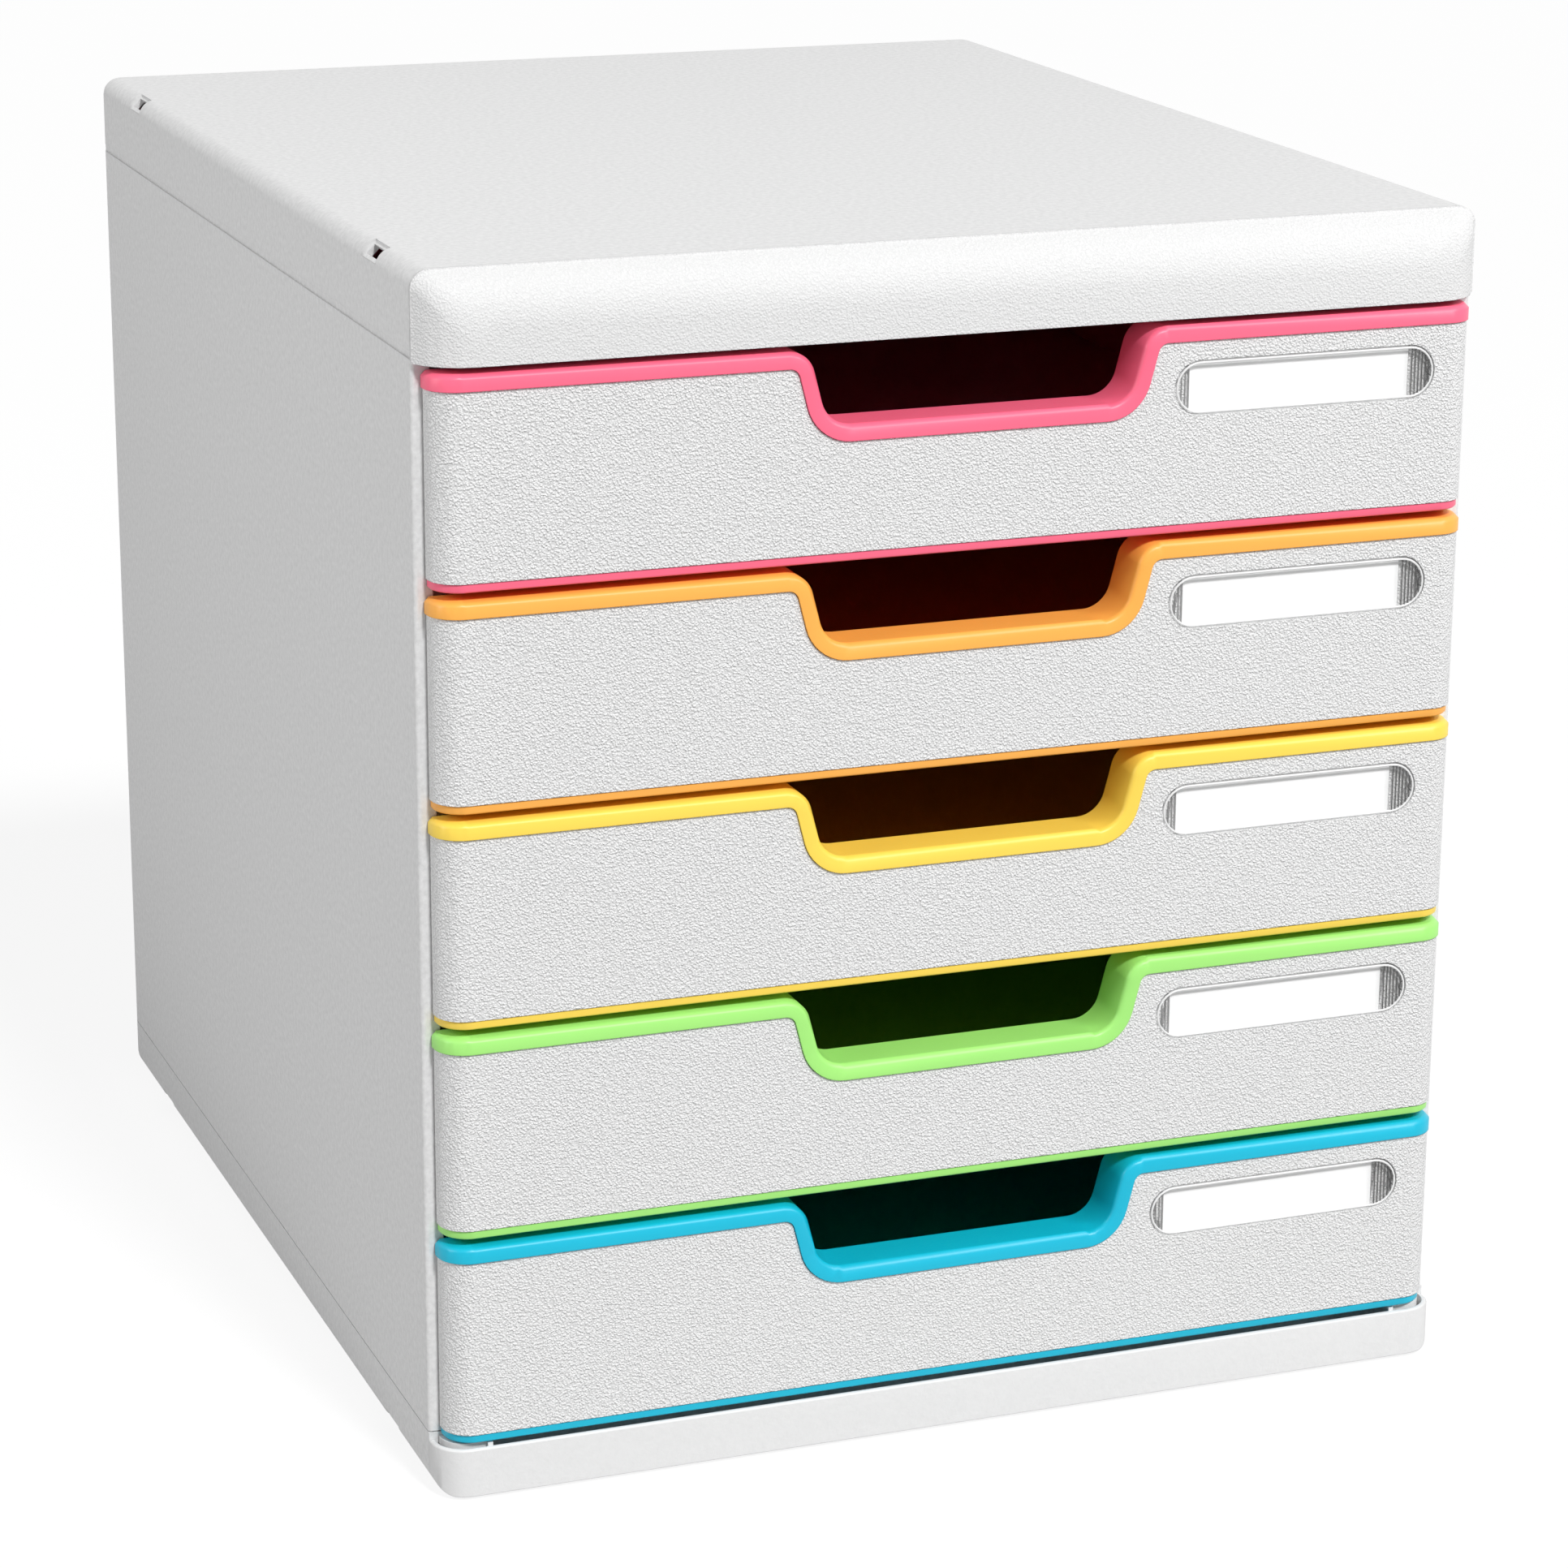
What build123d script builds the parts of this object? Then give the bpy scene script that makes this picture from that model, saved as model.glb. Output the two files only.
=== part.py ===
from build123d import *
from math import asin, cos, sin
import os

# Desk-top drawer tower: a pale plastic cabinet that holds five coloured drawers.
# Units are millimetres.  X points right as seen from the front, Y points to the back,
# Z points up.  The origin is the middle of the footprint, on the surface it stands on.
# The cabinet comes apart into a cover, a base, two sides, a back and two front trims.
# Each drawer is a coloured tray with a pale clip-on front and a label behind a clear lens.

# ---- overall size ---------------------------------------------------------------
WIDTH = 288.0
DEPTH = 350.0
HEIGHT = 320.0
DRAWER_COUNT = 5

# ---- cabinet --------------------------------------------------------------------
COVER_HEIGHT = 20.0          # skirt of the cover, down to the seam with the sides
BASE_HEIGHT = 16.0           # top of the base, up to the seam with the sides
TRIM_DEPTH = 10.0            # how far the front trims stand out from the cover and base
SHELL_WALL = 2.0             # wall of the cover, the sides and the back
FLOOR_WALL = 2.4             # floor of the base
TONGUE_WALL = 1.6            # inner skin of the sides, which enters the cover and base
TONGUE_REACH = 6.0           # how far that skin enters the cover and the base
FIT_GAP = 0.15               # gap between pieces that are fitted together
SEAM_GAP = 0.3               # gap between the sides and the cover, and the sides and the base
REBATE_HEIGHT = 1.8          # shallow step along the upper edge of each side
REBATE_DEPTH = 0.5
EDGE_RADIUS = 5.0            # rounding along the top and bottom edges
REAR_CORNER_RADIUS = 6.0     # rounding of the upright rear corners
TRIM_CORNER_RADIUS = 9.0     # plan rounding of the lower front trim
FRONT_EDGE_RADIUS = 1.2      # rounding of the upright front edge of each side
FRONT_RETURN_WIDTH = 4.8     # width of the front face of each side
FRONT_RETURN_DEPTH = 3.0
REAR_RETURN_WIDTH = 12.0     # how far each side wraps round on to the back

# ---- front trims ----------------------------------------------------------------
COVER_TRIM_HEIGHT = 23.0     # the upper trim hangs a little below the cover
COVER_TRIM_FLAT = 9.0        # height of its upright part, before it curves back
COVER_TRIM_STEPS = 4         # tapered slices that make up the curve
COVER_TRIM_LIP = 0.8         # width of the raised border along its rear edge
COVER_TRIM_LIP_STEP = 0.35   # height of that border over the textured face
BASE_TRIM_TOP = 14.0         # height of the top of the lower trim above the ground
TRIM_WALL = 2.4
BASE_TRIM_EDGE = 0.6         # bevel of its upper front edge
TROUGH_WALL = 1.4            # upright wall of the lower trim, which is open above
TROUGH_SLOT = 1.3            # gap between that wall and the inner rim at each corner
RIB_INSET = 14.0             # upright ribs in the trough, from its ends
RIB_WIDTH = 1.4
RIB_STAND = 0.9              # how far ribs and inner rims stand above the wall

# ---- stacking notches, in the long edges of the cover and the base ----------------
NOTCH_Y = (-135.2, 121.8)    # upright end wall of the front and the rear notch
NOTCH_LENGTH = 14.6
NOTCH_WIDTH = 5.4
NOTCH_DEPTH = 1.2
NOTCH_SLOPE = 2.6            # length of the slope at the end away from the wall
NOTCH_HOLE_WIDTH = 3.0       # hole through the floor of the notch

# ---- feet -----------------------------------------------------------------------
FOOT_WIDTH = 8.0
FOOT_LENGTH = 20.0
FOOT_STAND = 1.0             # how far each pad stands out below the base
FOOT_RECESS = 1.2
FOOT_INSET_X = 24.0
FOOT_INSET_Y = 26.0

# ---- drawer fronts --------------------------------------------------------------
FRONT_GAP = 2.2              # gap between one drawer front and the next
LOWEST_FRONT_GAP = 1.5       # gap between the lower trim and the lowest drawer
UPPER_FRONT_GAP = 1.7        # gap between the upper trim and the highest drawer
FRONT_SIDE_INSET = 2.4       # how far the fronts stay inside the cabinet's width
FRONT_CORNER_RADIUS = 8.0    # plan rounding of the drawer fronts
FRONT_BACK_GAP = 0.4         # gap between the fronts and the cabinet behind them
RIM_RADIUS = 2.1             # half the height of the rim along the top of each front
RIM_PLATE = 2.2              # thickness of the shelf behind the rim
RIM_DEPTH = 13.0             # depth of the rim and shelf together
LIP_HEIGHT = 2.2             # coloured lip under the pale panel
LIP_BEVEL = 0.4
LIP_INSET = 0.8              # how far the lip stays behind the rim
PANEL_INSET = 0.5            # how far the pale panel stays behind the rim
PANEL_WALL = 2.6
PANEL_GAP = 0.12             # gap between the panel and the tray above and below it

# ---- finger cut-out in the rim ----------------------------------------------------
CUTOUT_CENTRE = 1.5
CUTOUT_TOP_WIDTH = 95.0      # along the rim's centre line
CUTOUT_BOTTOM_WIDTH = 85.0
CUTOUT_DEPTH = 19.2
CUTOUT_TOP_RADIUS = 5.0
CUTOUT_BOTTOM_RADIUS = 10.0

# ---- label window -----------------------------------------------------------------
WINDOW_SIDE_MARGIN = 12.2    # from the window's right end to the end of the rim
WINDOW_CUTOUT_MARGIN = 6.0   # from the finger cut-out to the window's left end
WINDOW_HEIGHT = 14.3
WINDOW_DROP = 12.2           # from the panel's upper edge to the window's middle
WINDOW_POCKET = 1.9
LENS_GAP = 0.2
LENS_THICKNESS = 1.2
LENS_LEFT_END = 4.4          # thick ends of the lens, beyond the card
LENS_RIGHT_END = 7.2
CARD_THICKNESS = 0.5

# ---- drawer trays -----------------------------------------------------------------
TRAY_SIDE_GAP = 6.4          # from the inner skin of a side to the tray's wall
TRAY_REAR_GAP = 6.0          # from the back panel to the tray
TRAY_WALL = 2.0
TRAY_FLOOR = 2.0
TRAY_LIFT = 1.0              # tray's underside above the lower edge of its front
TRAY_RIM_DROP = 2.2          # tray's upper edge below the top of its front
TRAY_CORNER_RADIUS = 8.0     # inside the tray
TRAY_REAR_RADIUS = 10.0      # outside, at the two rear corners
FRONT_EAR_WALL = 2.0

# ---- runners ----------------------------------------------------------------------
RUNNER_FLANGE = 2.0          # thickness of the flange along each side of a tray
RUNNER_SIDE_GAP = 1.8        # from the flange to the inner skin of the side
RUNNER_LEDGE = 3.0           # thickness of the ledge that carries the flange
RUNNER_REST_GAP = 0.3        # play between flange and ledge
RUNNER_WALL_GAP = 0.6        # from the ledge to the tray's wall
RUNNER_SETBACK = 5.0         # ledges start this far behind the front of the sides
TRAVEL = 260.0               # how far a drawer slides out before it meets its stop
STOP_PLAY = 1.0              # left over between lug and stop at full travel
STOP_LENGTH = 4.0
STOP_DROP = 0.6              # gap between the stop block and the flange under it
LUG_HEIGHT = 2.2
LUG_LENGTH = 5.0
LUG_INSET = 0.6

# ---- sizes that follow from the ones above ------------------------------------------
HALF_WIDTH = WIDTH / 2
FRONT_Y = -DEPTH / 2
BACK_Y = DEPTH / 2
SHELL_FRONT_Y = FRONT_Y + TRIM_DEPTH
COVER_SEAM_Z = HEIGHT - COVER_HEIGHT
SIDE_TOP_Z = COVER_SEAM_Z - SEAM_GAP
SIDE_BOTTOM_Z = BASE_HEIGHT + SEAM_GAP
INNER_SKIN_X = HALF_WIDTH - SHELL_WALL - TONGUE_WALL
COVER_TRIM_BOTTOM_Z = HEIGHT - COVER_TRIM_HEIGHT
COVER_TRIM_CURVE = COVER_TRIM_HEIGHT - COVER_TRIM_FLAT
DRAWER_BAY = COVER_TRIM_BOTTOM_Z - UPPER_FRONT_GAP - BASE_TRIM_TOP - LOWEST_FRONT_GAP
FRONT_HEIGHT = (DRAWER_BAY - (DRAWER_COUNT - 1) * FRONT_GAP) / DRAWER_COUNT
DRAWER_PITCH = FRONT_HEIGHT + FRONT_GAP
FRONT_HALF_WIDTH = HALF_WIDTH - FRONT_SIDE_INSET
FRONT_BACK_Y = SHELL_FRONT_Y - FRONT_BACK_GAP
WINDOW_LEFT = CUTOUT_CENTRE + CUTOUT_TOP_WIDTH / 2 + WINDOW_CUTOUT_MARGIN
WINDOW_RIGHT = FRONT_HALF_WIDTH - WINDOW_SIDE_MARGIN
WINDOW_WIDTH = WINDOW_RIGHT - WINDOW_LEFT
WINDOW_CENTRE = (WINDOW_LEFT + WINDOW_RIGHT) / 2
RIM_LINE_Y = FRONT_Y + RIM_RADIUS
RIM_BACK_Y = FRONT_Y + RIM_DEPTH
RIM_LINE_Z = FRONT_HEIGHT - RIM_RADIUS
TRAY_HALF_WIDTH = INNER_SKIN_X - TRAY_SIDE_GAP
TRAY_FRONT_Y = RIM_BACK_Y - TRAY_WALL
TRAY_BACK_Y = BACK_Y - SHELL_WALL - TONGUE_WALL - TRAY_REAR_GAP
TRAY_TOP_Z = FRONT_HEIGHT - TRAY_RIM_DROP
FLANGE_HALF_WIDTH = INNER_SKIN_X - RUNNER_SIDE_GAP
FLANGE_BOTTOM_Z = TRAY_TOP_Z - RUNNER_FLANGE
LEDGE_TOP_Z = FLANGE_BOTTOM_Z - RUNNER_REST_GAP
RUNNER_FRONT_Y = SHELL_FRONT_Y + RUNNER_SETBACK
STOP_BACK_Y = RUNNER_FRONT_Y + STOP_LENGTH
LUG_FRONT_Y = STOP_BACK_Y + TRAVEL + STOP_PLAY


# ---- shared shapes --------------------------------------------------------------------
def block(x0, x1, y0, y1, z0, z1):
    """A box between two corners."""
    middle = Pos((x0 + x1) / 2, (y0 + y1) / 2, (z0 + z1) / 2)
    return middle * Box(x1 - x0, y1 - y0, z1 - z0)


def both_sides(shape):
    """A shape together with its mirror image across the middle plane."""
    return shape + mirror(shape, about=Plane.YZ)


def slab_xz(sketch, y0, y1):
    """A sketch drawn in X and Z, given thickness from y0 to y1."""
    return Pos(0, y1, 0) * extrude(Plane.XZ * sketch, y1 - y0)


def front_plan(half_width, y0, y1, radius):
    """Plan outline with its two front corners rounded."""
    outline = Pos(0, (y0 + y1) / 2) * Rectangle(2 * half_width, y1 - y0)
    front_corners = outline.vertices().sort_by(Axis.Y)[:2]
    return fillet(front_corners, radius)


def eased_tub(half_width, y0, y1, z_rim, z_end, corner_radius, ease, edge_size):
    """A block with round upright rear corners; ease (fillet or chamfer) shapes three edges at z_end."""
    tub = block(-half_width, half_width, y0, y1, min(z_rim, z_end), max(z_rim, z_end))
    rear_corners = tub.edges().filter_by(Axis.Z).filter_by_position(Axis.Y, y1 - 0.01, y1 + 0.01)
    tub = fillet(rear_corners, corner_radius)
    end_edges = tub.edges().filter_by_position(Axis.Z, z_end - 0.01, z_end + 0.01)
    front_edge = end_edges.sort_by(Axis.Y)[0]
    return ease([edge for edge in end_edges if edge != front_edge], edge_size)


# ---- stacking notches -----------------------------------------------------------------
def notch_cutter(y, z, side, up):
    """A recess along a rounded edge, upright at its front end and sloped at the other, with a hole."""
    floor_length = NOTCH_LENGTH - NOTCH_SLOPE
    profile = Polyline(
        (0, -NOTCH_DEPTH),
        (0, EDGE_RADIUS),
        (NOTCH_LENGTH, EDGE_RADIUS),
        (NOTCH_LENGTH, 0),
        (floor_length, -NOTCH_DEPTH),
        close=True,
    )
    recess = extrude(Plane.YZ * make_face(profile), NOTCH_WIDTH / 2, both=True)
    hole = block(
        -NOTCH_HOLE_WIDTH / 2, NOTCH_HOLE_WIDTH / 2,
        0, floor_length,
        -NOTCH_DEPTH - 2 * SHELL_WALL, 0,
    )
    # The edge's rounding lies deepest, at 45 degrees, this far inside the sharp corner.
    inset = EDGE_RADIUS * (1 - 0.5 ** 0.5)
    turn = 45 * side if up > 0 else 180 - 45 * side
    place = Pos(side * (HALF_WIDTH - inset), y, z - up * inset) * Rot(0, turn, 0)
    return place * (recess + hole)


def cut_notches(shape, z, up):
    for y in NOTCH_Y:
        for side in (-1, 1):
            shape -= notch_cutter(y, z, side, up)
    return shape


# ---- cabinet pieces -------------------------------------------------------------------
def top_cover():
    """Shallow shell with rounded edges and a stacking notch near each corner."""
    outside = eased_tub(
        HALF_WIDTH, SHELL_FRONT_Y, BACK_Y, COVER_SEAM_Z, HEIGHT,
        REAR_CORNER_RADIUS, fillet, EDGE_RADIUS,
    )
    inside = eased_tub(
        HALF_WIDTH - SHELL_WALL, SHELL_FRONT_Y + SHELL_WALL, BACK_Y - SHELL_WALL,
        COVER_SEAM_Z, HEIGHT - SHELL_WALL,
        REAR_CORNER_RADIUS - SHELL_WALL, chamfer, EDGE_RADIUS - SHELL_WALL,
    )
    return cut_notches(outside - inside, HEIGHT, 1)


def foot_centres():
    x = HALF_WIDTH - FOOT_INSET_X
    front = SHELL_FRONT_Y + FOOT_INSET_Y
    back = BACK_Y - FOOT_INSET_Y
    return [(-x, front), (x, front), (-x, back), (x, back)]


def foot_block(width, length, z_bottom):
    """A pad's space, from z_bottom up to the end of its recess in the base."""
    return block(-width / 2, width / 2, -length / 2, length / 2,
                 z_bottom, FOOT_STAND + FOOT_RECESS)


def base_tray():
    """Shallow tray that closes the cabinet below, with recesses for its pads."""
    outside = eased_tub(
        HALF_WIDTH, SHELL_FRONT_Y, BACK_Y, BASE_HEIGHT, FOOT_STAND,
        REAR_CORNER_RADIUS, fillet, EDGE_RADIUS,
    )
    inside = eased_tub(
        HALF_WIDTH - SHELL_WALL, SHELL_FRONT_Y + SHELL_WALL, BACK_Y - SHELL_WALL,
        BASE_HEIGHT, FOOT_STAND + FLOOR_WALL,
        REAR_CORNER_RADIUS - SHELL_WALL, chamfer, EDGE_RADIUS - SHELL_WALL,
    )
    tray = outside - inside
    for x, y in foot_centres():
        tray -= Pos(x, y) * foot_block(FOOT_WIDTH + 2 * FIT_GAP, FOOT_LENGTH + 2 * FIT_GAP, FOOT_STAND)
    return cut_notches(tray, FOOT_STAND, -1)


def feet():
    """Four flat non-slip pads."""
    pad = foot_block(FOOT_WIDTH, FOOT_LENGTH, 0)
    return Compound([Pos(x, y) * pad for x, y in foot_centres()])


def runner_ledges():
    """Ledges and stop blocks for every drawer, on the left side."""
    ledges = []
    for index in range(DRAWER_COUNT):
        z = drawer_base_z(index)
        ledges.append(block(
            -INNER_SKIN_X, -(TRAY_HALF_WIDTH + RUNNER_WALL_GAP),
            RUNNER_FRONT_Y, TRAY_BACK_Y,
            z + LEDGE_TOP_Z - RUNNER_LEDGE, z + LEDGE_TOP_Z,
        ))
        ledges.append(block(
            -INNER_SKIN_X, -(TRAY_HALF_WIDTH + RUNNER_WALL_GAP),
            RUNNER_FRONT_Y, STOP_BACK_Y,
            z + TRAY_TOP_Z + STOP_DROP, z + TRAY_TOP_Z + STOP_DROP + RUNNER_LEDGE,
        ))
    return ledges


def left_side_panel():
    """Flat side with a front face, a rear return, an inner skin and its runners."""
    outer = block(-HALF_WIDTH, -HALF_WIDTH + SHELL_WALL, SHELL_FRONT_Y, BACK_Y,
                  SIDE_BOTTOM_Z, SIDE_TOP_Z)
    front_return = block(-HALF_WIDTH, -HALF_WIDTH + FRONT_RETURN_WIDTH,
                         SHELL_FRONT_Y, SHELL_FRONT_Y + FRONT_RETURN_DEPTH,
                         SIDE_BOTTOM_Z, SIDE_TOP_Z)
    rear_return = block(-HALF_WIDTH, -HALF_WIDTH + REAR_RETURN_WIDTH,
                        BACK_Y - SHELL_WALL, BACK_Y, SIDE_BOTTOM_Z, SIDE_TOP_Z)
    skin_front_y = SHELL_FRONT_Y + SHELL_WALL + FIT_GAP
    skin = block(-HALF_WIDTH + SHELL_WALL, -INNER_SKIN_X,
                 skin_front_y, BACK_Y - SHELL_WALL - FIT_GAP, SIDE_BOTTOM_Z, SIDE_TOP_Z)
    tongue = block(-HALF_WIDTH + SHELL_WALL + FIT_GAP, -INNER_SKIN_X,
                   skin_front_y, BACK_Y - REAR_CORNER_RADIUS,
                   BASE_HEIGHT - TONGUE_REACH, COVER_SEAM_Z + TONGUE_REACH)
    outside = outer + front_return + rear_return
    corners = outside.edges().filter_by(Axis.Z).group_by(Axis.X)[0].sort_by(Axis.Y)
    outside = fillet(corners[0], FRONT_EDGE_RADIUS)
    corners = outside.edges().filter_by(Axis.Z).group_by(Axis.X)[0].sort_by(Axis.Y)
    outside = fillet(corners[-1], REAR_CORNER_RADIUS)
    rebate = block(-HALF_WIDTH, -HALF_WIDTH + REBATE_DEPTH, SHELL_FRONT_Y, BACK_Y,
                   SIDE_TOP_Z - REBATE_HEIGHT, SIDE_TOP_Z)
    return (outside - rebate) + skin + tongue + runner_ledges()


def back_panel():
    """Flat back between the two returns, with a wider inner skin behind them."""
    half_outer = HALF_WIDTH - REAR_RETURN_WIDTH - FIT_GAP
    skin_back_y = BACK_Y - SHELL_WALL - FIT_GAP
    outer = block(-half_outer, half_outer, skin_back_y, BACK_Y, SIDE_BOTTOM_Z, SIDE_TOP_Z)
    skin_front_y = BACK_Y - SHELL_WALL - TONGUE_WALL
    half_skin = INNER_SKIN_X - FIT_GAP
    skin = block(-half_skin, half_skin, skin_front_y, skin_back_y, SIDE_BOTTOM_Z, SIDE_TOP_Z)
    half_tongue = HALF_WIDTH - REAR_CORNER_RADIUS
    tongue = block(-half_tongue, half_tongue, skin_front_y, skin_back_y,
                   BASE_HEIGHT - TONGUE_REACH, COVER_SEAM_Z + TONGUE_REACH)
    return outer + skin + tongue


# ---- front trims ----------------------------------------------------------------------
def cover_trim_section(inset):
    """Front view of the upper trim, this far inside the outline of the cover."""
    top = HEIGHT - inset
    middle = (COVER_TRIM_BOTTOM_Z + top) / 2
    outline = Pos(0, middle) * Rectangle(WIDTH - 2 * inset, top - COVER_TRIM_BOTTOM_Z)
    return fillet(outline.vertices().sort_by(Axis.Y)[-2:], EDGE_RADIUS)


def cover_trim_bar(back):
    """Bar whose face curves back to the cover above and at both ends."""
    run = back - FRONT_Y
    rise = COVER_TRIM_CURVE - COVER_TRIM_LIP_STEP
    radius = (run ** 2 + rise ** 2) / (2 * run)
    end_angle = asin(rise / radius)
    sections = []
    for step in range(COVER_TRIM_STEPS + 1):
        angle = end_angle * step / COVER_TRIM_STEPS
        y = FRONT_Y + radius * (1 - cos(angle))
        section = cover_trim_section(COVER_TRIM_CURVE - radius * sin(angle))
        sections.append(Pos(0, y, 0) * (Plane.XZ * section))
    return loft(sections, ruled=True)


def top_fascia():
    """Upper front trim: a curved bar with a fine raised border where it meets the cover."""
    back = SHELL_FRONT_Y - FIT_GAP
    border = slab_xz(cover_trim_section(0), back - COVER_TRIM_LIP, back)
    pocket = block(
        -HALF_WIDTH + COVER_TRIM_CURVE, HALF_WIDTH - COVER_TRIM_CURVE,
        FRONT_Y + TRIM_WALL, back,
        COVER_TRIM_BOTTOM_Z + TRIM_WALL, COVER_TRIM_BOTTOM_Z + COVER_TRIM_FLAT + TRIM_WALL,
    )
    return cover_trim_bar(back - COVER_TRIM_LIP) + border - pocket


def inner_rim(inset, z0, z1):
    """Low wall round both front corners of the lower trim, this far inside it."""
    back = SHELL_FRONT_Y - FIT_GAP
    inner = inset + RIB_WIDTH
    plan = front_plan(HALF_WIDTH - inset, FRONT_Y + inset, back, TRIM_CORNER_RADIUS - inset)
    plan -= front_plan(HALF_WIDTH - inner, FRONT_Y + inner, back, TRIM_CORNER_RADIUS - inner)
    wall = Pos(0, 0, z0) * extrude(plan, z1 - z0)
    return wall & both_sides(block(HALF_WIDTH - RIB_INSET, HALF_WIDTH, FRONT_Y, back, z0, z1))


def base_fascia():
    """Lower front trim: a smooth trough, open above, with a rib and an inner rim at each end."""
    back = SHELL_FRONT_Y - FIT_GAP
    plan = front_plan(HALF_WIDTH, FRONT_Y, back, TRIM_CORNER_RADIUS)
    bar = Pos(0, 0, FOOT_STAND) * extrude(plan, BASE_TRIM_TOP - FOOT_STAND)
    upper_edges = bar.edges().filter_by_position(Axis.Z, BASE_TRIM_TOP - 0.01, BASE_TRIM_TOP + 0.01)
    upper_edges = [edge for edge in upper_edges if edge.center().Y < back - 0.01]
    bar = chamfer(upper_edges, BASE_TRIM_EDGE)
    middle = (FOOT_STAND + BASE_TRIM_TOP) / 2
    section = Pos(0, middle) * Rectangle(WIDTH, BASE_TRIM_TOP - FOOT_STAND)
    section = fillet(section.vertices().sort_by(Axis.Y)[:2], EDGE_RADIUS)
    bar &= slab_xz(section, FRONT_Y, back)
    floor_z = FOOT_STAND + TRIM_WALL
    trough = front_plan(HALF_WIDTH - TROUGH_WALL, FRONT_Y + TROUGH_WALL, back,
                        TRIM_CORNER_RADIUS - TROUGH_WALL)
    bar -= Pos(0, 0, floor_z) * extrude(trough, BASE_TRIM_TOP)
    rib_x = HALF_WIDTH - RIB_INSET
    rib_top_z = BASE_TRIM_TOP + RIB_STAND
    rib = block(rib_x - RIB_WIDTH / 2, rib_x + RIB_WIDTH / 2,
                FRONT_Y + TROUGH_WALL, back, floor_z, rib_top_z)
    return bar + both_sides(rib) + inner_rim(TROUGH_WALL + TROUGH_SLOT, floor_z, rib_top_z)


# ---- drawers --------------------------------------------------------------------------
def drawer_base_z(index):
    """Height of the lower edge of a drawer front; the top drawer has index 0."""
    return BASE_TRIM_TOP + LOWEST_FRONT_GAP + (DRAWER_COUNT - 1 - index) * DRAWER_PITCH


def rim_corner_points():
    """Corners of the rim's centre line in X and Z, from left to right."""
    top = CUTOUT_TOP_WIDTH / 2
    bottom = CUTOUT_BOTTOM_WIDTH / 2
    return [
        (CUTOUT_CENTRE - top, RIM_LINE_Z),
        (CUTOUT_CENTRE - bottom, RIM_LINE_Z - CUTOUT_DEPTH),
        (CUTOUT_CENTRE + bottom, RIM_LINE_Z - CUTOUT_DEPTH),
        (CUTOUT_CENTRE + top, RIM_LINE_Z),
    ]


def region_under_rim(offset_up):
    """The front's area up to the rim's centre line, moved up by offset_up."""
    wide = WIDTH
    corners = rim_corner_points()
    outline = FilletPolyline(
        (-wide, RIM_LINE_Z), *corners, (wide, RIM_LINE_Z),
        radius=[CUTOUT_TOP_RADIUS, CUTOUT_BOTTOM_RADIUS, CUTOUT_BOTTOM_RADIUS, CUTOUT_TOP_RADIUS],
    )
    lower = Polyline((wide, RIM_LINE_Z), (wide, -HEIGHT), (-wide, -HEIGHT), (-wide, RIM_LINE_Z))
    return offset(make_face([outline, lower]), offset_up)


def window_frame(half_width, z0, z1):
    """Rectangle in X and Z, used to trim the front's area to one piece."""
    return Pos(0, (z0 + z1) / 2) * Rectangle(2 * half_width, z1 - z0)


def rim_section():
    """Section of the rim, front at -X: eased off above, and square where it meets the panel."""
    flat = RIM_RADIUS * (2 ** 0.5 - 1)
    outline = Polyline(
        (0, RIM_RADIUS),
        (-flat, RIM_RADIUS),
        (-RIM_RADIUS, flat),
        (-RIM_RADIUS, -RIM_RADIUS),
        (0, -RIM_RADIUS),
        close=True,
    )
    return make_face(outline)


def rim_bead():
    """Rounded rim: a strip that follows the cut-out and both plan corners."""
    side_x = FRONT_HALF_WIDTH - RIM_RADIUS
    path_points = [(-side_x, FRONT_BACK_Y, RIM_LINE_Z), (-side_x, RIM_LINE_Y, RIM_LINE_Z)]
    path_points += [(x, RIM_LINE_Y, z) for x, z in rim_corner_points()]
    path_points += [(side_x, RIM_LINE_Y, RIM_LINE_Z), (side_x, FRONT_BACK_Y, RIM_LINE_Z)]
    corner_radius = FRONT_CORNER_RADIUS - RIM_RADIUS
    path = FilletPolyline(*path_points, radius=[
        corner_radius, CUTOUT_TOP_RADIUS, CUTOUT_BOTTOM_RADIUS,
        CUTOUT_BOTTOM_RADIUS, CUTOUT_TOP_RADIUS, corner_radius,
    ])
    start = Plane(origin=path_points[0], x_dir=(1, 0, 0), z_dir=(0, -1, 0))
    return sweep(start * rim_section(), path=path)


def rim_shelf():
    """Flat shelf behind the rim, which dips with the cut-out and shows as its thick wall."""
    shelf = region_under_rim(RIM_RADIUS) - region_under_rim(RIM_RADIUS - RIM_PLATE)
    shelf = slab_xz(shelf & window_frame(FRONT_HALF_WIDTH, 0, FRONT_HEIGHT), FRONT_Y, RIM_BACK_Y)
    corner_radius = FRONT_CORNER_RADIUS - RIM_RADIUS
    wide_plan = front_plan(FRONT_HALF_WIDTH - RIM_RADIUS, RIM_LINE_Y, FRONT_BACK_Y, corner_radius)
    narrow_plan = Pos(0, (RIM_LINE_Y + RIM_BACK_Y) / 2) * Rectangle(
        2 * TRAY_HALF_WIDTH, RIM_BACK_Y - RIM_LINE_Y)
    return shelf & extrude(wide_plan + narrow_plan, FRONT_HEIGHT)


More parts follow.
